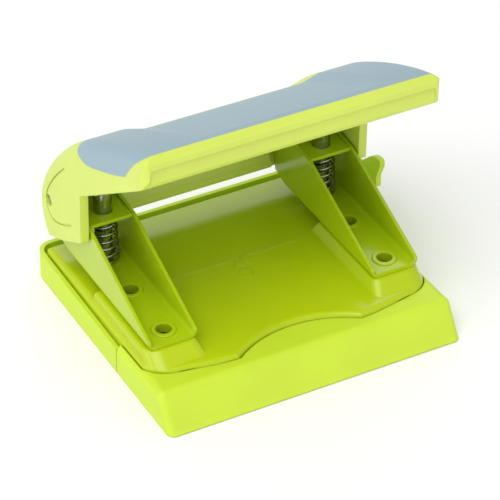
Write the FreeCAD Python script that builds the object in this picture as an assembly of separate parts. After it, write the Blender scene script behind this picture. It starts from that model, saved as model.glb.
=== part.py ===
"""Desk hole punch with a raised handle, two punches and a chip drawer.

Millimetres.  X runs along the width, Y towards the hinge side, Z up.
The origin is on the resting surface under the middle of the tray.
"""
import FreeCAD
import Part
import math
import os

V = FreeCAD.Vector

# ---------------------------------------------------------------- sizes
# Punching
hole_spacing = 80.0
pin_diameter = 6.0
hole_to_paper_stop = 12.0
running_gap = 0.08
paper_gap = 3.5

# Tray
tray_width = 105.2
tray_depth = 97.0
tray_wall = 1.5
tray_floor = 2.0
tray_corner_radius = 5.5
rim_height_rear = 10.2
rim_height_seam = 9.0
seam_to_rear = 60.1
seam_gap = 0.5
pin_line_to_tray_rear = 26.1
beam_ahead = 1.4
beam_behind = 0.6
web_thickness = 1.6
frame_foot = 1.0
web_places = (0.15, 0.5, 0.85)

# Drawer front
drawer_side_height = 11.0
drawer_brow_height = 11.9
drawer_slope_depth = 7.9
drawer_wall = 1.6
drawer_crease_radius = 3.0
drawer_corner_radius = 2.4
drawer_clearance = 0.4
drawer_step_width = 3.0
pan_floor = 1.2
pan_side_height = 5.0
pan_behind_pins = 9.0
slide_gap = 0.2

# Rails that carry the base plate
rail_width = 3.2
rail_reach = 22.0
rail_height = 9.3

# Base plate
plate_surface_height = 12.9
plate_sheet = 1.2
plate_gap = 0.4
plate_edge_radius = 2.0
plate_rear_gap = 4.6
platform_inner_top = 32.0
platform_draft = 1.6
platform_front = 49.5
platform_skirt = 4.5
platform_corner_radius = 6.5
platform_inner_radius = 3.0
platform_top_radius = 1.0
platform_edge_gap = 1.0
platform_sink = 3.0
platform_spread = 1.9
plate_front_reach = 58.7
plate_recess_half = 22.0
plate_recess_depth = 7.2
plate_shoulder_reach = 48.8
plate_corner_steps = ((0.0, 0.0), (3.8, 5.2), (13.3, 8.0))
plate_lip_width = 5.5
plate_lip_rise = 0.35
guide_slot_margin = 0.5
guide_slot_reach = 4.0

# Loops for the paper guide's strip, and marks on the plate
loop_x = 25.0
loop_half_width = 3.0
loop_wall = 1.4
loop_sheet = 1.0
mark_height = 0.25
mark_line_before_pins = 14.4
mark_line_width = 0.6
mark_bar_start = 2.2
mark_bar_end = 23.0
mark_arrow_gap = 0.8
mark_arrow_length = 3.7
mark_arrow_half = 2.4
mark_dot_radius = 2.2

# Brackets
bracket_width = 17.0
bracket_sheet = 1.5
bracket_wall = 1.1
bracket_front = 48.5
bracket_nose_height = 2.2
bracket_nose_rounding = 0.8
shelf_height = 19.2
shelf_sheet = 1.2
shelf_half_depth = 6.5
shelf_tab_half = 2.5
bracket_bend_radius = 2.7
rivet_fronts = (42.1, 19.4)
rivet_head_diameter = 8.2
rivet_tube_diameter = 6.6
rivet_hole_diameter = 5.2
rivet_head_height = 0.5
rivet_head_bevel = 0.3

# Hinge
hinge_behind_pins = 13.8
hinge_above_foot = 18.2
axle_diameter = 4.0
axle_end_recess = 0.8
axle_end_bevel = 0.4
ear_radius = 4.2
ear_slope_start = 5.5
ear_slope_rise = 1.5
rear_foot_y = 1.2
rear_foot_z = 2.5
foot_rear = 3.4
clip_diameter = 8.4
clip_thickness = 0.8
clip_mouth = 2.8

# Punch pins and springs
pin_top_above_hinge = 9.8
pin_tip_below_foot_top = 1.2
pin_tip_hollow_radius = 5.0
pin_tip_hollow_depth = 0.9
pin_dome_radius = 4.0
ring_ledge = 1.2
ring_thickness = 0.8
ring_slot = 2.0
spring_pin_gap = 1.0
spring_flare = 0.6
spring_wire = 0.75
spring_turns = 6
spring_end_gap = 0.05
presser_gap = 0.08
presser_width = 9.0
presser_depth = 7.6

# Handle
handle_width = 105.0
handle_front_width = 103.0
handle_rear_reach = 12.0
handle_plan_radius = 3.5
handle_wall = 2.5
cheek_gap = 0.6
handle_edge_radius = 4.5
handle_front_radius = 1.0
dish_depth = 1.7
dish_half_width = 28.0
dish_blend = 7.0
pad_thickness = 1.2
rib_thickness = 1.4
rib_depth = 4.0
rib_low = -13.5
rib_slope_rise = 7.0
rib_slope_reach = 5.7
rib_front = -30.0
rib_inset = 1.0
cheek_room = 1.5
rib_clip_gap = 0.5
front_recess_depth = 1.1
front_recess_rounding = 0.7
front_recess_end = 2.4
front_recess_top = 3.2
cheek_groove_width = 0.6
cheek_groove_depth = 0.75

# Paper guide
guide_pulled_out = 11.0
guide_fence_thickness = 2.0
guide_strip_depth = 12.0
guide_strip_thickness = 1.1
guide_behind_pins = 5.0
guide_strip_inner_end = 38.0

# Rubber pads
pad_foot_diameter = 10.0
pad_foot_thickness = 1.0
pad_foot_inset = 11.0

# ---------------------------------------------------------------- derived
half_width = tray_width / 2
tray_rear = tray_depth / 2
tray_front = -tray_depth / 2
pin_y = tray_rear - pin_line_to_tray_rear
seam_y = tray_rear - seam_to_rear
plate_half = half_width - tray_wall - plate_gap
plate_rear = tray_rear - tray_wall - plate_rear_gap
platform_top = plate_surface_height + paper_gap
foot_top = platform_top + bracket_sheet
bracket_x = hole_spacing / 2
hinge_y = pin_y + hinge_behind_pins
hinge_z = foot_top + hinge_above_foot
pin_radius = pin_diameter / 2
hole_radius = pin_radius + running_gap
plate_under = plate_surface_height - plate_sheet
strip_z = plate_under - slide_gap - guide_strip_thickness
handle_half = handle_width / 2
cheek_inner = bracket_x + bracket_width / 2 + cheek_gap
axle_radius = axle_diameter / 2
ring_radius = pin_radius + ring_ledge
spring_top_radius = pin_radius + spring_pin_gap + spring_wire / 2
spring_foot_radius = spring_top_radius + spring_flare
clip_inner_face = bracket_x - bracket_width / 2 - clip_thickness
rib_spacing = (clip_inner_face - rib_clip_gap - rib_thickness / 2) / 2
rail_inner = plate_half - rail_width
tongue_front = seam_y - rail_reach


# ---------------------------------------------------------------- helpers
def block(x0, x1, y0, y1, z0, z1):
    return Part.makeBox(x1 - x0, y1 - y0, z1 - z0, V(x0, y0, z0))


def upright(x, y, z0, z1, radius):
    return Part.makeCylinder(radius, z1 - z0, V(x, y, z0))


def cross_rod(x0, x1, y, z, radius):
    return Part.makeCylinder(radius, x1 - x0, V(x0, y, z), V(1, 0, 0))


def prism_x(edges_or_points, x0, x1):
    """Solid between two planes of constant X, from a closed outline in Y and Z."""
    face = Part.Face(as_wire(edges_or_points))
    face.translate(V(x0, 0, 0))
    return face.extrude(V(x1 - x0, 0, 0))


def prism_z(edges_or_points, z0, z1):
    """Solid between two heights, from a closed outline in X and Y."""
    face = Part.Face(as_wire(edges_or_points))
    face.translate(V(0, 0, z0))
    return face.extrude(V(0, 0, z1 - z0))


def as_wire(items):
    if isinstance(items[0], Part.Edge):
        return Part.Wire(items)
    return Part.makePolygon(items + [items[0]])


def rounded_corner(before, corner, after, radius):
    """Start, end and arc that round the corner between two straight sides."""
    back = (before - corner).normalize()
    ahead = (after - corner).normalize()
    half_angle = back.getAngle(ahead) / 2
    reach = radius / math.tan(half_angle)
    inward = (back + ahead).normalize()
    middle = corner + inward * (radius / math.sin(half_angle) - radius)
    start = corner + back * reach
    end = corner + ahead * reach
    return start, end, Part.Arc(start, middle, end).toShape()


def spline(points):
    curve = Part.BSplineCurve()
    curve.interpolate(points)
    return curve.toShape()


def line(a, b):
    return Part.LineSegment(a, b).toShape()


def yz(pairs, y0=0.0, z0=0.0):
    return [V(0, y0 + y, z0 + z) for y, z in pairs]


def mirrored(shape):
    return shape.mirror(V(0, 0, 0), V(1, 0, 0))


def one_solid(shape):
    joined = shape.removeSplitter()
    return joined.Solids[0] if len(joined.Solids) == 1 else joined


def edges_where(shape, test):
    return [edge for edge in shape.Edges if test(edge)]


def is_upright(edge):
    ends = edge.Vertexes
    if len(ends) != 2:
        return False
    step = ends[1].Point - ends[0].Point
    return step.Length > 1 and abs(step.z) > 0.8 * step.Length


# ---------------------------------------------------------------- tray
def tray_rim_outline():
    return yz([(seam_y, 0), (tray_rear, 0), (tray_rear, rim_height_rear), (seam_y, rim_height_seam)])


def rear_corner(edge):
    return is_upright(edge) and edge.CenterOfMass.y > tray_rear - 1


def make_chip_tray():
    shell = prism_x(tray_rim_outline(), -half_width, half_width)
    shell = shell.makeFillet(tray_corner_radius, edges_where(shell, rear_corner))
    inner = half_width - tray_wall
    hollow = block(-inner, inner, seam_y - 1, tray_rear - tray_wall, tray_floor, rim_height_rear + 5)
    hollow = hollow.makeFillet(tray_corner_radius - tray_wall, edges_where(hollow, rear_corner_inside))
    tray = shell.cut(hollow)
    tray = tray.fuse(block(-plate_half, plate_half, tongue_front, seam_y + 1, 0, tray_floor))
    for side in (-1, 1):
        tray = tray.fuse(make_rail(side))
    y0 = plate_rear - beam_ahead
    y1 = plate_rear + beam_behind
    tray = tray.fuse(block(-plate_half, plate_half, y0, y1, frame_foot, rail_height))
    tray = tray.fuse(make_rail_webs())
    tray = tray.cut(Part.makeCompound(foot_discs(pad_foot_thickness)))
    return one_solid(tray)


def rear_corner_inside(edge):
    return is_upright(edge) and edge.CenterOfMass.y > tray_rear - tray_wall - 1


def make_rail(side):
    x0, x1 = sorted((side * rail_inner, side * plate_half))
    return block(x0, x1, tongue_front, plate_rear, frame_foot, rail_height)


def make_rail_webs():
    """Short ribs that tie the rails to the tray's side walls."""
    webs = []
    for side in (-1, 1):
        for fraction in web_places:
            y = seam_y + fraction * (plate_rear - seam_y)
            x0, x1 = sorted((side * (plate_half - 1), side * (half_width - tray_wall / 2)))
            half = web_thickness / 2
            webs.append(block(x0, x1, y - half, y + half, frame_foot, rim_height_seam - 2))
    return webs


def foot_places():
    x = half_width - pad_foot_inset
    rear = tray_rear - pad_foot_inset
    front = tongue_front + pad_foot_inset
    return [(-x, rear), (x, rear), (-x, front), (x, front)]


def foot_discs(height):
    return [upright(x, y, 0, height, pad_foot_diameter / 2) for x, y in foot_places()]


def make_rubber_feet():
    return Part.makeCompound(foot_discs(pad_foot_thickness))


# ---------------------------------------------------------------- drawer
def drawer_profile(inset):
    """Side outline of the drawer front: sloped face in front, flat brow on top."""
    brow_y = tray_front + drawer_slope_depth
    back = seam_y - seam_gap
    return yz([
        (tray_front + inset, inset),
        (back, inset),
        (back, drawer_side_height - inset),
        (brow_y + inset, drawer_brow_height - inset),
    ])


def drawer_crease(edge):
    brow_y = tray_front + drawer_slope_depth
    middle = edge.CenterOfMass
    return abs(middle.x) < 1 and abs(middle.y - brow_y) < 1 and abs(middle.z - drawer_brow_height) < 1


def drawer_front_corner(edge):
    return is_sloping(edge) and edge.CenterOfMass.y < tray_front + drawer_slope_depth


def is_sloping(edge):
    ends = edge.Vertexes
    if len(ends) != 2:
        return False
    step = ends[1].Point - ends[0].Point
    return abs(step.x) < 0.1 and step.Length > 6 and abs(step.z) > 0.5 * step.Length


def drawer_body():
    body = prism_x(drawer_profile(0), -half_width, half_width)
    body = body.makeFillet(drawer_corner_radius, edges_where(body, drawer_front_corner))
    crease = edges_where(body, drawer_crease)
    return body.makeFillet(drawer_crease_radius, crease) if crease else body


def drawer_front():
    """Outer front of the drawer with its rim, open over the plate and the tray's tongue."""
    inner = half_width - tray_wall
    hollow = prism_x(drawer_profile(drawer_wall), -inner, inner)
    hollow = hollow.makeFillet(drawer_corner_radius - tray_wall, edges_where(hollow, drawer_front_corner))
    front = drawer_body().cut(hollow)
    y0 = tongue_front - drawer_clearance
    tongue_room = block(-inner, inner, y0, seam_y, -1, rail_height + drawer_clearance)
    plate_room = prism_z(plate_outline(drawer_clearance), tray_floor, drawer_brow_height + 10)
    return front.cut([tongue_room, plate_room])


def drawer_pan():
    """Shallow pan that slides between the rails and catches the paper chips."""
    half = rail_inner - 2 * slide_gap
    low = tray_floor + slide_gap
    high = low + pan_floor + pan_side_height
    front = tongue_front - drawer_clearance - drawer_step_width
    rear = pin_y + pan_behind_pins
    pan = block(-half, half, front, rear, low, high)
    room = block(-half + pan_floor, half - pan_floor, front - 1, rear - pan_floor, low + pan_floor, high + 1)
    return pan.cut(room)


def drawer_step():
    """Step that joins the drawer front to the raised pan."""
    inner = half_width - tray_wall
    rear = tongue_front - drawer_clearance
    top = tray_floor + slide_gap + pan_floor
    return block(-inner, inner, rear - drawer_step_width, rear, pan_floor / 2, top)


def make_chip_drawer():
    return one_solid(drawer_front().fuse([drawer_pan(), drawer_step()]))


# ---------------------------------------------------------------- base plate
def plate_outline(grow):
    """Plan outline of the stamped plate; its front has a shallow thumb recess."""
    side = plate_half + grow
    rear = plate_rear + grow
    front = pin_y - plate_front_reach - grow
    shoulder = pin_y - plate_shoulder_reach
    recess = plate_recess_half - grow
    middle = front + plate_recess_depth
    corner = [V(side - x, shoulder - y, 0) for x, y in plate_corner_steps]
    right = corner + [V(recess + plate_lip_width, front + plate_lip_rise, 0), V(recess, front, 0)]
    right_front = spline(right)
    hollow = Part.Arc(V(recess, front, 0), V(0, middle, 0), V(-recess, front, 0)).toShape()
    left_front = mirrored(right_front)
    return [
        line(V(side, rear, 0), V(side, shoulder, 0)),
        right_front,
        hollow,
        left_front,
        line(V(-side, shoulder, 0), V(-side, rear, 0)),
        line(V(-side, rear, 0), V(side, rear, 0)),
    ]


def platform_section(z, grow):
    """Right platform outline at one height, grown outwards by its draft."""
    inner = platform_inner_top - grow
    outer = plate_half - platform_edge_gap
    stop = pin_y - hole_to_paper_stop - platform_draft + grow
    front = pin_y - platform_front - grow * platform_skirt / platform_draft
    rear_inner = V(inner, stop, z)
    rear_outer = V(outer, stop, z)
    front_outer = V(outer, front, z)
    front_inner = V(inner, front, z)
    a, b, outer_arc = rounded_corner(rear_outer, front_outer, front_inner, platform_corner_radius)
    c, d, inner_arc = rounded_corner(front_outer, front_inner, rear_inner, platform_inner_radius)
    straight = [line(rear_inner, rear_outer), line(rear_outer, a), line(b, c), line(d, rear_inner)]
    return Part.Wire([straight[0], straight[1], outer_arc, straight[2], inner_arc, straight[3]])


def make_platform(inset):
    """Right platform with sloping flanks, or the room under its sheet when inset."""
    low_z = plate_surface_height - platform_sink
    low = platform_section(low_z - inset, platform_draft * platform_spread - inset)
    high = platform_section(platform_top - inset, -inset)
    platform = Part.makeLoft([low, high], True, True)
    if inset:
        return platform
    top = edges_where(platform, lambda e: e.BoundBox.ZMin > platform_top - 0.01)
    top = [edge for edge in top if edge.CenterOfMass.y < stop_edge_y()]
    return platform.makeFillet(platform_top_radius, top)


def stop_edge_y():
    """Just in front of the platform's rear edge, which stays sharp as the paper stop."""
    return pin_y - hole_to_paper_stop - platform_draft - 0.5


def plate_body(inset):
    """Outside form of the plate, or the hollow under its sheet when inset."""
    low = rail_height - (1 if inset else 0)
    body = prism_z(plate_outline(-inset), low, plate_surface_height - inset)
    rim = edges_where(body, lambda e: e.BoundBox.ZMin > plate_surface_height - inset - 0.1)
    if not inset:
        body = body.makeFillet(plate_edge_radius, rim)
    right = make_platform(inset).common(prism_z(plate_outline(-inset - 0.2), low, 40))
    return body.fuse([right, mirrored(right)])


def strip_loops():
    """Loops under the plate that the paper guide's strip slides in."""
    y0 = pin_y + guide_behind_pins
    y1 = y0 + guide_strip_depth
    top = strip_z - slide_gap
    low = top - loop_sheet
    loops = []
    for x in (-loop_x, loop_x):
        x0 = x - loop_half_width
        x1 = x + loop_half_width
        loops.append(block(x0, x1, y0 - loop_wall, y1 + loop_wall, low, top))
        loops.append(block(x0, x1, y0 - loop_wall, y0 - slide_gap, low, plate_under + 0.2))
        loops.append(block(x0, x1, y1 + slide_gap, y1 + loop_wall, low, plate_under + 0.2))
    return loops


def centre_mark():
    """Raised guide marks on the plate: a paper line, an arrow and a dot."""
    z0 = plate_surface_height - mark_height
    z1 = plate_surface_height + mark_height
    half = mark_line_width / 2
    line_y = pin_y - mark_line_before_pins
    tip_y = line_y - mark_arrow_gap
    foot_y = tip_y - mark_arrow_length
    arrow = prism_z([V(0, tip_y, 0), V(-mark_arrow_half, foot_y, 0), V(mark_arrow_half, foot_y, 0)], z0, z1)
    right_bar = block(mark_bar_start, mark_bar_end, line_y - half, line_y + half, z0, z1)
    dot = upright(0, foot_y - mark_arrow_length, z0, z1, mark_dot_radius)
    return [right_bar, mirrored(right_bar), arrow, dot]


def rivet_places():
    return [(side * bracket_x, pin_y - front) for side in (-1, 1) for front in rivet_fronts]


def make_base_plate():
    plate = plate_body(0).cut(plate_body(plate_sheet))
    plate = plate.fuse(strip_loops() + centre_mark())
    y0 = pin_y + guide_behind_pins - guide_slot_margin
    y1 = y0 + guide_strip_depth + 2 * guide_slot_margin
    x0 = plate_half - guide_slot_reach
    plate = plate.cut(block(x0, plate_half + 1, y0, y1, rail_height - 1, plate_under))
    for side in (-1, 1):
        plate = plate.cut(upright(side * bracket_x, pin_y, 5, 20, hole_radius))
    for x, y in rivet_places():
        plate = plate.cut(upright(x, y, 5, 20, rivet_tube_diameter / 2))
    return one_solid(plate)


# ---------------------------------------------------------------- brackets
def bracket_side():
    """Side outline of a bracket, from the pin line and the foot's top."""
    return yz([
        (-bracket_front, -bracket_sheet),
        (-bracket_front, bracket_nose_height - bracket_nose_rounding),
        (-bracket_front + bracket_nose_rounding, bracket_nose_height),
        (-shelf_half_depth, shelf_height),
        (hinge_behind_pins - ear_slope_start, shelf_height + ear_slope_rise),
        (hinge_behind_pins, hinge_above_foot + ear_radius),
        (hinge_behind_pins + ear_radius, hinge_above_foot),
        (hinge_behind_pins + rear_foot_y, rear_foot_z),
        (foot_rear, -bracket_sheet),
    ], pin_y, foot_top)


def bracket_bend(edge):
    middle = edge.CenterOfMass
    low = abs(middle.z - (foot_top - bracket_sheet)) < 0.01
    length = edge.BoundBox.YLength
    return low and length > 10 and edge.BoundBox.XLength < 0.01


def make_left_bracket():
    x0 = -bracket_x - bracket_width / 2
    x1 = -bracket_x + bracket_width / 2
    channel = prism_x(bracket_side(), x0, x1)
    channel = channel.makeFillet(bracket_bend_radius, edges_where(channel, bracket_bend))
    channel = channel.fuse(cross_rod(x0, x1, hinge_y, hinge_z, ear_radius))
    bracket = channel.cut(bracket_room(x0 + bracket_wall, x1 - bracket_wall))
    bracket = bracket.cut(upright(-bracket_x, pin_y, foot_top - 5, foot_top + 5, hole_radius))
    for x, y in rivet_places():
        bracket = bracket.cut(upright(x, y, foot_top - 5, foot_top + 5, rivet_tube_diameter / 2))
    bracket = bracket.cut(cross_rod(x0 - 1, x1 + 1, hinge_y, hinge_z, axle_radius))
    return one_solid(bracket.cut(shelf_tabs()))


def bracket_room(x0, x1):
    """Space between the walls, with the inside of the bends."""
    room = block(x0, x1, pin_y - 2 * bracket_front, pin_y + 2 * bracket_front, foot_top, foot_top + 60)
    low = edges_where(room, lambda e: e.BoundBox.ZMax < foot_top + 0.01 and e.BoundBox.XLength < 0.01)
    return room.makeFillet(bracket_bend_radius - bracket_sheet, low)


def shelf_tabs():
    half = bracket_width / 2
    z1 = foot_top + shelf_height
    y0 = pin_y - shelf_tab_half
    return block(-bracket_x - half, -bracket_x + half, y0, y0 + 2 * shelf_tab_half, z1 - shelf_sheet, z1)


def make_left_pin_guide():
    half = bracket_width / 2 - bracket_wall
    z1 = foot_top + shelf_height
    depth = shelf_half_depth
    shelf = block(-bracket_x - half, -bracket_x + half, pin_y - depth, pin_y + depth, z1 - shelf_sheet, z1)
    shelf = shelf.fuse(shelf_tabs())
    return one_solid(shelf.cut(upright(-bracket_x, pin_y, z1 - 5, z1 + 5, hole_radius)))


def make_bracket_rivets():
    rivets = []
    tail = platform_top - plate_sheet
    for x, y in rivet_places():
        tube = upright(x, y, tail - rivet_head_height, foot_top + rivet_head_height, rivet_tube_diameter / 2)
        head = upright(x, y, foot_top, foot_top + rivet_head_height, rivet_head_diameter / 2)
        head = head.makeChamfer(rivet_head_bevel, [head.Edges[0]])
        foot = upright(x, y, tail - rivet_head_height, tail, rivet_head_diameter / 2)
        rivet = tube.fuse([head, foot]).cut(upright(x, y, 0, 40, rivet_hole_diameter / 2))
        rivets.append(one_solid(rivet))
    return Part.makeCompound(rivets)


# ---------------------------------------------------------------- punches
def make_left_punch_pin():
    low = foot_top - pin_tip_below_foot_top
    high = hinge_z + pin_top_above_hinge
    dome_z = high - pin_dome_radius
    ball = Part.makeSphere(pin_dome_radius, V(-bracket_x, pin_y, dome_z))
    dome = ball.common(upright(-bracket_x, pin_y, dome_z, high + 1, pin_radius))
    pin = upright(-bracket_x, pin_y, low, dome_z, pin_radius).fuse(dome)
    axis_z = low - pin_tip_hollow_radius + pin_tip_hollow_depth
    x0 = -bracket_x - pin_radius - 1
    x1 = -bracket_x + pin_radius + 1
    hollow = cross_rod(x0, x1, pin_y, axis_z, pin_tip_hollow_radius)
    return one_solid(pin.cut(hollow))


def ring_top():
    return foot_top + shelf_height - shelf_sheet


def make_left_retaining_ring():
    z1 = ring_top()
    ring = upright(-bracket_x, pin_y, z1 - ring_thickness, z1, ring_radius)
    ring = ring.cut(upright(-bracket_x, pin_y, z1 - 5, z1 + 5, pin_radius))
    x0 = -bracket_x - ring_slot / 2
    slot = block(x0, x0 + ring_slot, pin_y, pin_y + 2 * ring_radius, z1 - 5, z1 + 5)
    return one_solid(ring.cut(slot))


def make_left_return_spring():
    """Wire spring, a little wider at its foot than under the retaining ring."""
    height = ring_top() - ring_thickness - foot_top - spring_wire - 2 * spring_end_gap
    pitch = height / spring_turns
    flare = math.degrees(math.atan2(spring_flare, height))
    helix = Part.makeHelix(pitch, height, spring_top_radius, flare)
    start = V(spring_top_radius, 0, 0)
    rise = V(0, spring_top_radius, pitch / (2 * math.pi))
    wire_round = Part.Wire([Part.makeCircle(spring_wire / 2, start, rise)])
    coil = Part.Wire(helix).makePipeShell([wire_round], True, True)
    coil = coil.mirror(V(0, 0, height / 2), V(0, 0, 1))
    coil.translate(V(-bracket_x, pin_y, foot_top + spring_wire / 2 + spring_end_gap))
    return coil.Solids[0] if coil.Solids else coil


# ---------------------------------------------------------------- hinge
def make_hinge_axle():
    end = handle_half - axle_end_recess
    axle = cross_rod(-end, end, hinge_y, hinge_z, axle_radius)
    ends = edges_where(axle, lambda e: e.BoundBox.XLength < 0.01)
    return axle.makeChamfer(axle_end_bevel, ends)


def make_left_axle_clip():
    x0 = -bracket_x + bracket_width / 2
    clip = cross_rod(x0, x0 + clip_thickness, hinge_y, hinge_z, clip_diameter / 2)
    clip = clip.cut(cross_rod(x0 - 1, x0 + 2, hinge_y, hinge_z, axle_radius))
    half = clip_mouth / 2
    mouth = block(x0 - 1, x0 + 2, hinge_y - half, hinge_y + half, hinge_z - clip_diameter, hinge_z)
    return one_solid(clip.cut(mouth))


# ---------------------------------------------------------------- handle
# Back and top line of the handle, from the hinge axis, rear bottom to front top,
# with the share of the dish depth that each point takes in the middle.
back_line = (
    (4.1, -15.7, 0.0),
    (8.4, -7.2, 0.0),
    (8.0, 1.4, 0.6),
    (4.1, 9.7, 1.0),
    (-5.9, 22.0, 1.0),
    (-17.6, 32.2, 1.0),
    (-28.8, 39.2, 1.0),
    (-46.5, 48.2, 0.7),
    (-60.2, 53.6, 0.0),
    (-63.8, 54.7, 0.0),
)
front_top = (-65.6, 52.8)
front_face = (-66.0, 47.4)
front_bottom = (-64.0, 43.6)
side_notch = (-22.7, 15.5)
cheek_front = (-22.7, -2.7)
cheek_low = (-9.7, -9.9)


def hinge_point(pair):
    return V(0, hinge_y + pair[0], hinge_z + pair[1])


def back_points(inset, dish):
    """Points of the back line moved inwards along its normals."""
    base = [hinge_point(p) for p in back_line]
    curve = Part.BSplineCurve()
    curve.interpolate(base)
    moved = []
    for point, spec in zip(base, back_line):
        tangent = curve.tangent(curve.parameter(point))[0]
        inward = V(0, -tangent.z, tangent.y)
        moved.append(point + inward * (inset + dish * spec[2]))
    return moved


def handle_outline(inset):
    back = back_points(inset, 0)
    front = [hinge_point(p) + V(0, inset, 0) for p in (front_top, front_face, front_bottom)]
    low = [hinge_point(p) for p in (side_notch, cheek_front, cheek_low)]
    chain = [back[-1]] + front + low + [back[0]]
    edges = [spline(back)]
    for a, b in zip(chain, chain[1:]):
        edges.append(line(a, b))
    return edges


def long_back_edge(edge):
    return edge.Length > 60 and edge.BoundBox.XLength < 0.1 * edge.Length


def front_edge(edge):
    middle = edge.CenterOfMass
    return middle.y < hinge_y + front_bottom[0] + 1.5 and middle.z > hinge_z + front_bottom[1] + 0.4


def handle_plan(inset):
    """Plan of the handle, a little narrower at the front, with square corners."""
    rear = handle_half - inset
    front = handle_front_width / 2 - inset
    y0 = hinge_y + front_face[0] + inset
    y1 = hinge_y + handle_rear_reach
    return [V(rear, y1, 0), V(-rear, y1, 0), V(-front, y0, 0), V(front, y0, 0)]


def rounded_plan(inset):
    """Plan of the handle with its two front corners rounded."""
    rear_right, rear_left, front_left, front_right = handle_plan(inset)
    radius = handle_plan_radius - inset
    a, b, left_arc = rounded_corner(rear_left, front_left, front_right, radius)
    c, d, right_arc = rounded_corner(front_left, front_right, rear_right, radius)
    rear_edge = line(rear_right, rear_left)
    return [rear_edge, line(rear_left, a), left_arc, line(b, c), right_arc, line(d, rear_right)]


def handle_form(inset):
    """Outside form of the handle, moved inwards by the inset."""
    tall = 2 * hinge_z + handle_half
    form = prism_x(handle_outline(inset), -handle_half, handle_half)
    form = form.common(prism_z(handle_plan(inset), 0, tall))
    form = form.makeFillet(handle_edge_radius - inset, edges_where(form, long_back_edge))
    if inset == 0:
        form = form.makeFillet(handle_front_radius, edges_where(form, front_edge))
    form = form.common(prism_z(rounded_plan(inset), 0, tall))
    dished = form.cut(dish_cutter(inset))
    if dished.Volume > form.Volume - dish_depth * dish_half_width:
        raise ValueError("the dish was not cut out of the handle")
    return dished


def dish_section(x, inset, dish):
    inner = back_points(inset, dish)[1:-1]
    outer = back_points(-6, 0)[1:-1]
    ends = [line(inner[-1], outer[-1]), line(outer[0], inner[0])]
    wire = Part.Wire([spline(inner), ends[0], spline(outer), ends[1]])
    wire.translate(V(x, 0, 0))
    return wire


def dish_cutter(inset):
    wide = dish_half_width + dish_blend
    half = dish_half_width
    shallow = -0.05
    places = ((-wide, shallow), (-half, dish_depth), (half, dish_depth), (wide, shallow))
    return Part.makeLoft([dish_section(x, inset, dish) for x, dish in places], True, True)


def handle_cavity():
    """Space inside the shell, open below; deeper beside the cheeks than in the dished middle."""
    middle = cavity_prism(handle_wall + dish_depth, -cheek_inner, cheek_inner)
    side_start = bracket_x - bracket_width / 2 - cheek_room
    side = cavity_prism(handle_wall, side_start, cheek_inner)
    return middle.fuse([side, mirrored(side)])


def cavity_prism(wall, x0, x1):
    roof = back_points(wall, 0)
    front_y = hinge_point(front_face).y + handle_wall
    low_z = hinge_point(cheek_low).z - 20
    top_front = V(0, front_y, roof[-2].z - 1)
    points = [roof[-2], top_front, V(0, front_y, low_z), V(0, roof[0].y, low_z), roof[0]]
    edges = [spline(roof[:-1])] + [line(a, b) for a, b in zip(points, points[1:])]
    return prism_x(edges, x0, x1)


def pad_boundary():
    """Side outline of the soft pad, from the hinge axis."""
    lower = [(-20.6, 31.8), (-26.0, 30.6), (-36.0, 33.8), (-45.5, 38.0), (-53.9, 42.4)]
    front = [(-53.9, 42.4), (-56.6, 46.2), (-59.6, 50.2), (-63.2, 54.2)]
    sky = [(-66.0, 62.0), (-40.0, 75.0), (-13.0, 44.0)]
    points = [hinge_point(p) for p in sky]
    lower_edge = spline([hinge_point(p) for p in lower])
    front_edge = spline([hinge_point(p) for p in front])
    chain = [hinge_point(front[-1])] + points + [hinge_point(lower[0])]
    return [lower_edge, front_edge] + [line(a, b) for a, b in zip(chain, chain[1:])]


def pad_region():
    return prism_x(pad_boundary(), -handle_half - 5, handle_half + 5)


def make_presser():
    """Flat-faced rib over the right pin; it presses on the pin's domed top."""
    y1 = pin_y + presser_depth / 2
    z0 = hinge_z + pin_top_above_hinge + presser_gap
    x0 = bracket_x - presser_width / 2
    return block(x0, x0 + presser_width, y1 - presser_depth, y1, z0, hinge_z + 40)


def make_ribs():
    """Short wedges that stiffen the corner between the roof and the rear wall."""
    depth = handle_wall + dish_depth + rib_depth
    outer = handle_outline(rib_inset)
    inner = back_points(depth, 0)
    below = hinge_point((0, rib_low - 30)).z
    far = [V(0, inner[-1].y, below), V(0, inner[0].y, below)]
    room = [spline(inner), line(inner[-1], far[0]), line(far[0], far[1]), line(far[1], inner[0])]
    ribs = []
    for step in (-2, -1, 0, 1, 2):
        x0 = step * rib_spacing - rib_thickness / 2
        x1 = x0 + rib_thickness
        rib = prism_x(outer, x0, x1).cut(prism_x(room, x0 - 1, x1 + 1))
        ribs.append(rib.common(prism_x(rib_limits(), x0 - 1, x1 + 1)))
    return ribs


def rib_limits():
    """Side outline that ends each rib in front and cuts its lower end on a slope."""
    wall = back_line[1][0] - handle_wall
    slope_top = rib_low + rib_slope_rise
    sky = front_top[1] + 20
    pairs = [(rib_front, sky), (40, sky), (40, rib_low), (wall, rib_low)]
    pairs += [(wall - rib_slope_reach, slope_top), (rib_front, slope_top)]
    return [hinge_point(pair) for pair in pairs]


def front_recess():
    """Shallow field let into the lower part of the front face, with soft inner edges."""
    end = handle_front_width / 2 - front_recess_end
    face = hinge_point(front_face)
    deep = face.y + front_recess_depth
    z0 = hinge_point(front_bottom).z - 5
    z1 = face.z + front_recess_top
    field = block(-end, end, face.y - 5, deep, z0, z1)
    upper = edges_where(field, lambda e: e.BoundBox.ZMin > z1 - 0.01 and e.BoundBox.XLength < 0.01)
    field = field.makeFillet(2 * front_recess_rounding, upper)
    rear = edges_where(field, lambda e: e.BoundBox.YMin > deep - 0.01 and e.CenterOfMass.z > z0 + 1)
    return field.makeFillet(front_recess_rounding, rear)


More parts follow.
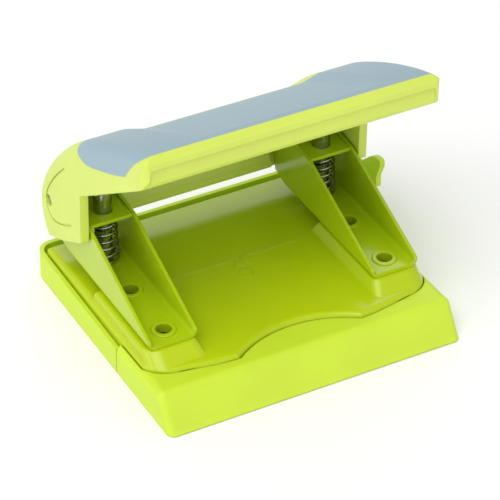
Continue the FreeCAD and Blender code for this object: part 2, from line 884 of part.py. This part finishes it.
# Groove on the outside of a cheek, from the hinge axis, upper end to lower front end.
groove_line = (
    (-12.3, 19.3),
    (-5.8, 12.4),
    (-1.4, 6.5),
    (0.9, 2.2),
    (1.2, -2.0),
    (-1.4, -5.0),
    (-6.5, -4.7),
    (-16.0, 0.5),
)


def cheek_groove():
    """Thin curved groove round the axle end."""
    near = [hinge_point(pair) for pair in groove_line]
    curve = Part.BSplineCurve()
    curve.interpolate(near)
    far = []
    for point in near:
        tangent = curve.tangent(curve.parameter(point))[0]
        far.append(point + V(0, -tangent.z, tangent.y) * cheek_groove_width)
    far.reverse()
    band = [spline(near), line(near[-1], far[0]), spline(far), line(far[-1], near[0])]
    return prism_x(band, -handle_half - 1, -handle_half + cheek_groove_depth)


def make_handle():
    form = handle_form(0)
    shell = form.cut(handle_cavity())
    inner_form = handle_form(rib_inset)
    presser = make_presser().common(inner_form)
    ribs = [rib.common(inner_form) for rib in make_ribs()]
    handle = shell.fuse([presser, mirrored(presser)] + ribs)
    pocket = form.cut(handle_form(pad_thickness)).common(pad_region())
    handle = handle.cut(pocket)
    handle = handle.cut(front_recess())
    bore = axle_radius + running_gap
    handle = handle.cut(cross_rod(-handle_half - 1, handle_half + 1, hinge_y, hinge_z, bore))
    handle = handle.cut([cheek_groove(), mirrored(cheek_groove())])
    return one_solid(handle)


def make_grip_pad():
    form = handle_form(0)
    skin = form.cut(handle_form(pad_thickness))
    return one_solid(skin.common(pad_region()))


# ---------------------------------------------------------------- paper guide
# Edge of the fence from the pin line and the plate, bottom front over the nose to the rear.
fence_line = ((2.3, -0.4), (1.8, 3.4), (0.5, 6.9), (0.8, 8.7), (2.9, 9.0), (8.8, 5.5), (17.0, 0.3))


def make_paper_guide():
    y0 = pin_y + guide_behind_pins
    y1 = y0 + guide_strip_depth
    outer = half_width + guide_pulled_out + guide_fence_thickness
    strip = block(-guide_strip_inner_end, outer, y0, y1, strip_z, strip_z + guide_strip_thickness)
    edge = [V(0, pin_y + y, plate_surface_height + z) for y, z in fence_line]
    low_front = V(0, edge[0].y, strip_z)
    low_rear = V(0, edge[-1].y, strip_z)
    sides = [line(edge[-1], low_rear), line(low_rear, low_front), line(low_front, edge[0])]
    fence = prism_x([spline(edge)] + sides, outer - guide_fence_thickness, outer)
    return one_solid(strip.fuse(fence))


# ---------------------------------------------------------------- output
def save(name, shape):
    if not shape.isValid():
        print("not valid:", name)
    shape.exportStep("parts/" + name + ".step")
    box = shape.optimalBoundingBox()
    print(f"{name}: {len(shape.Solids)} solid(s), {shape.Volume:.0f} mm3, z {box.ZMin:.2f} to {box.ZMax:.2f}")


def save_pair(name, left_shape):
    save("left_" + name, left_shape)
    save("right_" + name, mirrored(left_shape))


os.makedirs("parts", exist_ok=True)
save("chip_tray", make_chip_tray())
save("rubber_feet", make_rubber_feet())
save("chip_drawer", make_chip_drawer())
save("base_plate", make_base_plate())
save_pair("bracket", make_left_bracket())
save_pair("pin_guide", make_left_pin_guide())
save("bracket_rivets", make_bracket_rivets())
save_pair("punch_pin", make_left_punch_pin())
save_pair("retaining_ring", make_left_retaining_ring())
save_pair("return_spring", make_left_return_spring())
save("hinge_axle", make_hinge_axle())
save_pair("axle_clip", make_left_axle_clip())
save("handle", make_handle())
save("grip_pad", make_grip_pad())
save("paper_guide", make_paper_guide())
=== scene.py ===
import math

import bmesh
import bpy
from mathutils import Matrix, Vector


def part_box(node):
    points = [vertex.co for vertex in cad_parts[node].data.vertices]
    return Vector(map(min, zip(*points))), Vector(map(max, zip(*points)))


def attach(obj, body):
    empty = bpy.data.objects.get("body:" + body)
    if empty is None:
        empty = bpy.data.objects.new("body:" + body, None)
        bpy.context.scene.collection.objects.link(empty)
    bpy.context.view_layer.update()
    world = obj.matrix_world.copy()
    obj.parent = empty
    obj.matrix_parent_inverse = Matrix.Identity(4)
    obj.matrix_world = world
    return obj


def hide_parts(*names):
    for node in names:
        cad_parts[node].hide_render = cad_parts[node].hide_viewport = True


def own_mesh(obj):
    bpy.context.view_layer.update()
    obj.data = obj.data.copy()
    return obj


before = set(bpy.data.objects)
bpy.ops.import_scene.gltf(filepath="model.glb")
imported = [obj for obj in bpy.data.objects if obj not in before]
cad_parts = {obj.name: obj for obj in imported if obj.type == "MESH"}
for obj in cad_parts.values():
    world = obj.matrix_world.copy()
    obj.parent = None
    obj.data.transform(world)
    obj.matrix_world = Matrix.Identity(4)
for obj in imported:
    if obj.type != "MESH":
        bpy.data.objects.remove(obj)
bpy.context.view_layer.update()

bl_info = {
    "name": "Desk hole punch",
    "version": (1, 0, 0),
    "blender": (4, 5, 0),
    "location": "3D View > Sidebar > Hole punch",
    "description": "Finishes and fine parts of a two-hole desk punch",
    "category": "Object",
}

MM = 0.001

# Radius that each finish gives to the sharp edges of its pieces.
MOULDED_EDGE = 0.45 * MM
PAINTED_EDGE = 0.55 * MM
METAL_EDGE = 0.15 * MM

# Depth of the fine relief of each finish.
MOULD_GRAIN_DEPTH = 0.04 * MM
PAINT_PEEL_DEPTH = 0.06 * MM
GRIP_GRAIN_DEPTH = 0.05 * MM
STEEL_MARK_DEPTH = 0.02 * MM
RUBBER_GRAIN_DEPTH = 0.06 * MM

# Noise scale of the grain, peel and clouds of each finish, per metre.
MOULD_GRAIN = 2600.0
MOULD_CLOUDS = 38.0
PAINT_PEEL = 420.0
PAINT_CLOUDS = 45.0
GRIP_GRAIN = 3200.0
GRIP_CLOUDS = 30.0
STEEL_CLOUDS = 220.0
RUBBER_GRAIN = 1500.0
FLOOR_CLOUDS = 6.0

EDGE_SAMPLES = 6


# ------------------------------------------------------------------ shader maths
class Value:
    """One output socket; Python operators on it add Math nodes."""

    def __init__(self, shade, socket):
        self.shade = shade
        self.socket = socket

    def _math(self, operation, *operands):
        inputs = {index: item for index, item in enumerate(operands)}
        return self.shade.node("ShaderNodeMath", {"operation": operation}, inputs)

    def __add__(self, other):
        return self._math("ADD", self, other)

    def __radd__(self, other):
        return self._math("ADD", other, self)

    def __sub__(self, other):
        return self._math("SUBTRACT", self, other)

    def __rsub__(self, other):
        return self._math("SUBTRACT", other, self)

    def __mul__(self, other):
        return self._math("MULTIPLY", self, other)

    def __rmul__(self, other):
        return self._math("MULTIPLY", other, self)

    def clamped(self):
        return self.shade.node("ShaderNodeClamp", {}, {"Value": self})


class Shade:
    """A material under construction."""

    def __init__(self, name):
        self.material = bpy.data.materials.new(name)
        self.material.use_nodes = True
        self.tree = self.material.node_tree
        self.tree.nodes.clear()
        self.bsdf = self.tree.nodes.new("ShaderNodeBsdfPrincipled")
        output = self.tree.nodes.new("ShaderNodeOutputMaterial")
        self.tree.links.new(self.bsdf.outputs[0], output.inputs["Surface"])

    def node(self, kind, settings=None, inputs=None, output=0):
        """Adds a node: its settings first, then values or links for its sockets."""
        made = self.tree.nodes.new(kind)
        for key, value in (settings or {}).items():
            if key == "stops":
                self._fill_ramp(made.color_ramp, value)
            else:
                setattr(made, key, value)
        for key, value in (inputs or {}).items():
            self._feed(made.inputs[key], value)
        return Value(self, made.outputs[output])

    def _feed(self, socket, value):
        if isinstance(value, Value):
            self.tree.links.new(value.socket, socket)
        else:
            socket.default_value = value

    def _fill_ramp(self, ramp, stops):
        while len(ramp.elements) < len(stops):
            ramp.elements.new(0.5)
        for element, (place, grey) in zip(ramp.elements, stops):
            element.position = place
            element.color = (grey, grey, grey, 1)

    def place(self):
        return self.node("ShaderNodeTexCoord", output="Object")

    def stretched(self, scale):
        return self.node("ShaderNodeMapping", {}, {"Vector": self.place(), "Scale": scale})

    def noise(self, scale, detail=2.0, roughness=0.5, vector=None):
        inputs = {"Scale": scale, "Detail": detail, "Roughness": roughness, "Vector": vector or self.place()}
        return self.node("ShaderNodeTexNoise", {}, inputs)

    def ramp(self, value, stops):
        return self.node("ShaderNodeValToRGB", {"stops": stops}, {"Fac": value})

    def blend(self, factor, first, second):
        """Mixes two colours."""
        return self.node("ShaderNodeMix", {"data_type": "RGBA"}, {0: factor, 6: first, 7: second}, output=2)

    def bump(self, height, strength, distance, edge=0.0):
        """Fine relief; with an edge radius, corners also catch the light as if broken by it."""
        inputs = {"Height": height, "Strength": strength, "Distance": distance}
        if edge:
            inputs["Normal"] = self.node("ShaderNodeBevel", {"samples": EDGE_SAMPLES}, {"Radius": edge})
        return self.node("ShaderNodeBump", {}, inputs)

    def finish(self, **sockets):
        for key, value in sockets.items():
            self._feed(self.bsdf.inputs[key.replace("_", " ")], value)
        return self.material


def scaled(colour, factor):
    """Lighter or darker form of a colour, with its alpha."""
    return (colour[0] * factor, colour[1] * factor, colour[2] * factor, 1.0)


# ------------------------------------------------------------------ finishes
def moulded_plastic(name, colour, roughness, grain):
    """Injection moulded plastic: fine spark-eroded grain and faint flow clouds."""
    shade = Shade(name)
    clouds = shade.noise(MOULD_CLOUDS, 3.0, 0.55)
    fine = shade.noise(MOULD_GRAIN, 2.0, 0.6)
    flow = shade.ramp(clouds, ((0.3, 0.0), (0.7, 1.0)))
    base = shade.blend(flow, scaled(colour, 0.965), scaled(colour, 1.03))
    gloss = roughness + (clouds - 0.5) * 0.10 + (fine - 0.5) * 0.06
    return shade.finish(
        Base_Color=base,
        Roughness=gloss.clamped(),
        Normal=shade.bump(fine, grain, MOULD_GRAIN_DEPTH, MOULDED_EDGE),
        IOR=1.49,
        Subsurface_Weight=0.08,
        Subsurface_Scale=0.004,
        Subsurface_Radius=(0.9, 1.0, 0.15),
    )


def gloss_paint(name, colour):
    """Baked gloss enamel on sheet steel: slight orange peel and a clear film."""
    shade = Shade(name)
    peel = shade.noise(PAINT_PEEL, 2.0, 0.5)
    clouds = shade.noise(PAINT_CLOUDS, 2.0, 0.5)
    base = shade.blend(clouds, scaled(colour, 0.93), scaled(colour, 1.07))
    gloss = 0.20 + (peel - 0.5) * 0.05 + (clouds - 0.5) * 0.06
    return shade.finish(
        Base_Color=base,
        Roughness=gloss.clamped(),
        Normal=shade.bump(peel, 0.22, PAINT_PEEL_DEPTH, PAINTED_EDGE),
        IOR=1.45,
        Specular_IOR_Level=0.38,
        Coat_Weight=0.12,
        Coat_Roughness=0.06,
    )


def soft_grip_finish(name, colour):
    """Thermoplastic rubber: satin, with a very fine matt grain."""
    shade = Shade(name)
    fine = shade.noise(GRIP_GRAIN, 2.0, 0.6)
    clouds = shade.noise(GRIP_CLOUDS, 3.0, 0.5)
    base = shade.blend(clouds, scaled(colour, 0.95), scaled(colour, 1.05))
    gloss = 0.46 + (clouds - 0.5) * 0.08 + (fine - 0.5) * 0.10
    return shade.finish(
        Base_Color=base,
        Roughness=gloss.clamped(),
        Normal=shade.bump(fine, 0.30, GRIP_GRAIN_DEPTH),
        IOR=1.5,
        Sheen_Weight=0.12,
        Sheen_Roughness=0.4,
    )


def ground_steel(name, colour, roughness, along):
    """Centreless ground or drawn steel: marks run round or along the stock."""
    shade = Shade(name)
    marks = shade.noise(1.0, 3.0, 0.6, shade.stretched(along))
    clouds = shade.noise(STEEL_CLOUDS, 2.0, 0.5)
    base = shade.blend(marks, scaled(colour, 0.8), scaled(colour, 1.15))
    gloss = roughness + (marks - 0.5) * 0.16 + (clouds - 0.5) * 0.08
    return shade.finish(
        Base_Color=base,
        Metallic=1.0,
        Roughness=gloss.clamped(),
        Normal=shade.bump(marks, 0.12, STEEL_MARK_DEPTH, METAL_EDGE),
    )


def matt_rubber(name, colour):
    """Black rubber with a coarse, dull grain."""
    shade = Shade(name)
    fine = shade.noise(RUBBER_GRAIN, 3.0, 0.6)
    base = shade.blend(fine, scaled(colour, 0.8), scaled(colour, 1.2))
    relief = shade.bump(fine, 0.4, RUBBER_GRAIN_DEPTH)
    return shade.finish(Base_Color=base, Roughness=0.75 + fine * 0.15, Normal=relief)


def dress(node, material):
    """Gives a CAD node its finish."""
    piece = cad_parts[node]
    piece.data.materials.clear()
    piece.data.materials.append(material)


# ------------------------------------------------------------------ settings
def colour_property(name, description, default):
    return bpy.props.FloatVectorProperty(
        name=name, description=description, subtype="COLOR", size=3, min=0.0, max=1.0, default=default
    )


class PunchFinishes(bpy.types.PropertyGroup):
    tray: colour_property("Tray", "Plastic of the tray, drawer and paper guide", (0.56, 0.73, 0.03))
    handle: colour_property("Handle", "Plastic of the handle", (0.60, 0.71, 0.10))
    plate: colour_property("Plate", "Enamel of the base plate", (0.46, 0.58, 0.006))
    bracket: colour_property("Brackets", "Enamel of the brackets", (0.42, 0.56, 0.006))
    grip: colour_property("Grip", "Rubber of the grip pad", (0.255, 0.375, 0.43))
    steel: colour_property("Steel", "Punches and axle", (0.42, 0.42, 0.40))
    wire: colour_property("Spring wire", "Springs, rings and clips", (0.44, 0.44, 0.43))
    feet: colour_property("Feet", "Rubber pads under the tray", (0.03, 0.03, 0.03))


def length_property(name, description, default):
    return bpy.props.FloatProperty(
        name=name, description=description, subtype="DISTANCE", unit="LENGTH", default=default
    )


def angle_property(name, description, degrees):
    return bpy.props.FloatProperty(
        name=name, description=description, subtype="ANGLE", default=math.radians(degrees)
    )


class PunchSprings(bpy.types.PropertyGroup):
    wire: length_property("Wire", "Diameter of the spring wire", 0.75 * MM)
    flare: length_property("Flare", "How much wider the foot is than the top, on radius", 0.6 * MM)
    turns: bpy.props.FloatProperty(
        name="Turns", description="Open turns between the closed ends", default=5.2, min=1.0
    )


class PunchStage(bpy.types.PropertyGroup):
    azimuth: angle_property("Azimuth", "Direction of view from the front", -29.362)
    elevation: angle_property("Elevation", "Height of the view", 36.702)
    roll: angle_property("Roll", "Camera roll", 1.105)
    distance: length_property("Distance", "Camera to the aimed point", 0.89065)
    lens: bpy.props.FloatProperty(
        name="Lens", description="Focal length in millimetres", default=199.03, min=20.0
    )
    key: bpy.props.FloatProperty(
        name="Key light", description="Power of the key light", subtype="POWER", default=6.5
    )


# ------------------------------------------------------------------ springs
# The wire stays inside the CAD coil's box by this margin.
COIL_MARGIN = 0.05 * MM
# Slight unevenness of the open coils, as a share of the open height.
COIL_EASING = 0.012
CLOSED_TURNS = 0.9
RING_POINTS = 14
STEPS_PER_TURN = 48


def spring_height(springs, turn, height):
    """Climb of the wire: nearly flat closed turns at both ends, even coils between."""
    closed_rise = springs.wire * CLOSED_TURNS
    total = springs.turns + 2 * CLOSED_TURNS
    if turn < CLOSED_TURNS:
        return closed_rise * turn / CLOSED_TURNS
    if turn > total - CLOSED_TURNS:
        return height - closed_rise * (total - turn) / CLOSED_TURNS
    share = (turn - CLOSED_TURNS) / springs.turns
    eased = share + COIL_EASING * math.sin(2 * math.pi * share)
    return closed_rise + (height - 2 * closed_rise) * eased


def spring_line(springs, low, high, foot_radius, top_radius):
    """Middle line of the wire, from the foot up to the top."""
    total = springs.turns + 2 * CLOSED_TURNS
    count = round(total * STEPS_PER_TURN)
    height = high.z - low.z
    points = []
    for step in range(count + 1):
        turn = total * step / count
        climb = spring_height(springs, turn, height)
        radius = foot_radius + (top_radius - foot_radius) * climb / height
        angle = 2 * math.pi * turn
        points.append(low + Vector((radius * math.cos(angle), radius * math.sin(angle), climb)))
    return points


def wire_mesh(name, points, radius):
    """Round wire along a line, with flat cut ends."""
    bm = bmesh.new()
    rings = []
    for index, point in enumerate(points):
        before = points[max(index - 1, 0)]
        after = points[min(index + 1, len(points) - 1)]
        along = (after - before).normalized()
        side = along.cross(Vector((0, 0, 1))).normalized()
        up = side.cross(along)
        ring = []
        for corner in range(RING_POINTS):
            angle = 2 * math.pi * corner / RING_POINTS
            ring.append(bm.verts.new(point + radius * (side * math.cos(angle) + up * math.sin(angle))))
        rings.append(ring)
    for first, second in zip(rings, rings[1:]):
        for corner in range(RING_POINTS):
            follow = (corner + 1) % RING_POINTS
            bm.faces.new((first[corner], first[follow], second[follow], second[corner])).smooth = True
    bm.faces.new(list(reversed(rings[0])))
    bm.faces.new(rings[-1])
    bmesh.ops.recalc_face_normals(bm, faces=bm.faces)
    mesh = bpy.data.meshes.new(name)
    bm.to_mesh(mesh)
    bm.free()
    return mesh


def make_spring(side, material, springs):
    """A return spring that takes the place of the plain CAD coil."""
    node = side + "_return_spring"
    low, high = (Vector(corner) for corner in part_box(node))
    pin_low, pin_high = (Vector(corner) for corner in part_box(side + "_punch_pin"))
    middle = (pin_low + pin_high) / 2
    wire = springs.wire / 2
    foot_radius = (high.x - low.x) / 2 - wire - COIL_MARGIN
    top_radius = foot_radius - springs.flare
    foot = Vector((middle.x, middle.y, low.z + wire))
    top = Vector((middle.x, middle.y, high.z - wire))
    name = side + "_spring"
    points = spring_line(springs, foot, top, foot_radius, top_radius)
    piece = bpy.data.objects.new(name, wire_mesh(name, points, wire))
    bpy.context.scene.collection.objects.link(piece)
    piece.data.materials.append(material)
    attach(piece, "base")
    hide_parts(node)
    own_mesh(piece)


# ------------------------------------------------------------------ operators
class PUNCH_OT_tray(bpy.types.Operator):
    """Finish the chip tray, its drawer, the paper guide and the rubber pads"""

    bl_idname = "punch.tray"
    bl_label = "Tray, drawer and guide"
    bl_options = {"REGISTER", "UNDO"}

    def execute(self, context):
        finishes = context.scene.punch_finishes
        plastic = moulded_plastic("tray_plastic", finishes.tray, 0.46, 0.35)
        for node in ("chip_tray", "chip_drawer", "paper_guide"):
            dress(node, plastic)
        dress("rubber_feet", matt_rubber("foot_rubber", finishes.feet))
        return {"FINISHED"}


class PUNCH_OT_plate(bpy.types.Operator):
    """Finish the stamped base plate"""

    bl_idname = "punch.plate"
    bl_label = "Base plate"
    bl_options = {"REGISTER", "UNDO"}

    def execute(self, context):
        finishes = context.scene.punch_finishes
        dress("base_plate", gloss_paint("plate_paint", finishes.plate))
        return {"FINISHED"}


class PUNCH_OT_brackets(bpy.types.Operator):
    """Finish the brackets, pin guides and rivets"""

    bl_idname = "punch.brackets"
    bl_label = "Brackets"
    bl_options = {"REGISTER", "UNDO"}

    def execute(self, context):
        finishes = context.scene.punch_finishes
        paint = gloss_paint("bracket_paint", finishes.bracket)
        for side in ("left", "right"):
            dress(side + "_bracket", paint)
            dress(side + "_pin_guide", paint)
        dress("bracket_rivets", paint)
        return {"FINISHED"}


class PUNCH_OT_punches(bpy.types.Operator):
    """Finish the punches, springs, rings, axle and clips"""

    bl_idname = "punch.punches"
    bl_label = "Punches and springs"
    bl_options = {"REGISTER", "UNDO"}

    def execute(self, context):
        finishes = context.scene.punch_finishes
        steel = ground_steel("pin_steel", finishes.steel, 0.16, (300.0, 300.0, 5200.0))
        wire = ground_steel("spring_steel", finishes.wire, 0.20, (1800.0, 1800.0, 1800.0))
        for side in ("left", "right"):
            dress(side + "_punch_pin", steel)
            dress(side + "_retaining_ring", wire)
            make_spring(side, wire, context.scene.punch_springs)
            dress(side + "_axle_clip", wire)
        dress("hinge_axle", steel)
        return {"FINISHED"}


class PUNCH_OT_handle(bpy.types.Operator):
    """Finish the handle shell"""

    bl_idname = "punch.handle"
    bl_label = "Handle"
    bl_options = {"REGISTER", "UNDO"}

    def execute(self, context):
        finishes = context.scene.punch_finishes
        dress("handle", moulded_plastic("handle_plastic", finishes.handle, 0.38, 0.15))
        return {"FINISHED"}


class PUNCH_OT_grip(bpy.types.Operator):
    """Finish the soft grip pad"""

    bl_idname = "punch.grip"
    bl_label = "Grip pad"
    bl_options = {"REGISTER", "UNDO"}

    def execute(self, context):
        finishes = context.scene.punch_finishes
        dress("grip_pad", soft_grip_finish("grip_rubber", finishes.grip))
        return {"FINISHED"}


# Name, place, size and share of the key light's power.
LIGHTS = (
    ("key", (-0.42, -0.32, 1.00), (0.8, 0.8), 1.0),
    ("low_front", (0.05, -1.0, 0.20), (1.4, 0.4), 0.26),
    ("left", (-1.0, 0.05, 0.45), (0.6, 0.6), 0.35),
    ("rear", (0.35, 0.9, 0.8), (0.8, 0.5), 0.30),
)
LIT_POINT = (0.0, 0.0, 0.03)


def area_light(name, place, aim, size, power):
    data = bpy.data.lights.new(name, "AREA")
    data.shape = "RECTANGLE"
    data.size = size[0]
    data.size_y = size[1]
    data.energy = power
    lamp = bpy.data.objects.new(name, data)
    lamp.location = place
    lamp.rotation_euler = (Vector(place) - Vector(aim)).to_track_quat("Z", "Y").to_euler()
    bpy.context.scene.collection.objects.link(lamp)


# Floor, background and camera.
FLOOR_HALF = 1.6
FLOOR_DROP = 0.2 * MM
FLOOR_TONES = ((0.93, 0.93, 0.93, 1), (0.96, 0.96, 0.96, 1))
WORLD_STRENGTH = 0.60
SENSOR_WIDTH = 36.0
CLIP_START = 0.05
AIMED_POINT = (2.69 * MM, 2.29 * MM, 19.54 * MM)


def make_floor():
    """Plain pale floor, just below the rubber pads."""
    half = FLOOR_HALF
    mesh = bpy.data.meshes.new("floor")
    corners = [(-half, -half, 0), (half, -half, 0), (half, half, 0), (-half, half, 0)]
    mesh.from_pydata(corners, [], [(0, 1, 2, 3)])
    floor = bpy.data.objects.new("floor", mesh)
    floor.location.z = -FLOOR_DROP
    shade = Shade("floor_paper")
    soft = shade.noise(FLOOR_CLOUDS, 2.0, 0.5)
    tone = shade.blend(soft, FLOOR_TONES[0], FLOOR_TONES[1])
    mesh.materials.append(shade.finish(Base_Color=tone, Roughness=0.9))
    bpy.context.scene.collection.objects.link(floor)


def make_world():
    """Even white surroundings."""
    world = bpy.data.worlds.new("studio")
    world.use_nodes = True
    background = world.node_tree.nodes["Background"]
    background.inputs["Color"].default_value = (1.0, 1.0, 1.0, 1.0)
    background.inputs["Strength"].default_value = WORLD_STRENGTH
    bpy.context.scene.world = world


def make_camera(stage):
    """Camera aimed at the punch from the stage's direction and distance."""
    back = Vector((
        math.cos(stage.elevation) * math.sin(stage.azimuth),
        -math.cos(stage.elevation) * math.cos(stage.azimuth),
        math.sin(stage.elevation),
    ))
    aim = Vector(AIMED_POINT)
    data = bpy.data.cameras.new("camera")
    data.lens = stage.lens
    data.sensor_width = SENSOR_WIDTH
    data.clip_start = CLIP_START
    camera = bpy.data.objects.new("camera", data)
    turn = back.to_track_quat("Z", "Y").to_matrix() @ Matrix.Rotation(stage.roll, 3, "Z")
    camera.matrix_world = Matrix.Translation(aim + back * stage.distance) @ turn.to_4x4()
    bpy.context.scene.collection.objects.link(camera)
    bpy.context.scene.camera = camera


class PUNCH_OT_stage(bpy.types.Operator):
    """Add the floor, the soft lights and the camera"""

    bl_idname = "punch.stage"
    bl_label = "Stage"
    bl_options = {"REGISTER", "UNDO"}

    def execute(self, context):
        stage = context.scene.punch_stage
        make_floor()
        make_world()
        make_camera(stage)
        for name, place, size, share in LIGHTS:
            area_light(name, place, LIT_POINT, size, stage.key * share)
        context.scene.view_settings.view_transform = "Standard"
        return {"FINISHED"}


class PUNCH_PT_panel(bpy.types.Panel):
    """Lists the pieces of the hole punch"""

    bl_idname = "PUNCH_PT_panel"
    bl_label = "Hole punch"
    bl_space_type = "VIEW_3D"
    bl_region_type = "UI"
    bl_category = "Hole punch"

    def draw(self, context):
        for operator in PIECES + (PUNCH_OT_stage,):
            self.layout.operator(operator.bl_idname)
        scene = context.scene
        for group in (scene.punch_finishes, scene.punch_springs, scene.punch_stage):
            for name in group.__annotations__:
                self.layout.prop(group, name)


PIECES = (
    PUNCH_OT_tray,
    PUNCH_OT_plate,
    PUNCH_OT_brackets,
    PUNCH_OT_punches,
    PUNCH_OT_handle,
    PUNCH_OT_grip,
)
CLASSES = (PunchFinishes, PunchSprings, PunchStage) + PIECES + (PUNCH_OT_stage, PUNCH_PT_panel)


def register():
    for item in CLASSES:
        bpy.utils.register_class(item)
    bpy.types.Scene.punch_finishes = bpy.props.PointerProperty(type=PunchFinishes)
    bpy.types.Scene.punch_springs = bpy.props.PointerProperty(type=PunchSprings)
    bpy.types.Scene.punch_stage = bpy.props.PointerProperty(type=PunchStage)


def unregister():
    del bpy.types.Scene.punch_stage
    del bpy.types.Scene.punch_springs
    del bpy.types.Scene.punch_finishes
    for item in reversed(CLASSES):
        bpy.utils.unregister_class(item)


def main():
    register()
    bpy.ops.punch.stage()
    for operator in PIECES:
        group, name = operator.bl_idname.split(".")
        getattr(getattr(bpy.ops, group), name)()


if __name__ == "__main__":
    main()
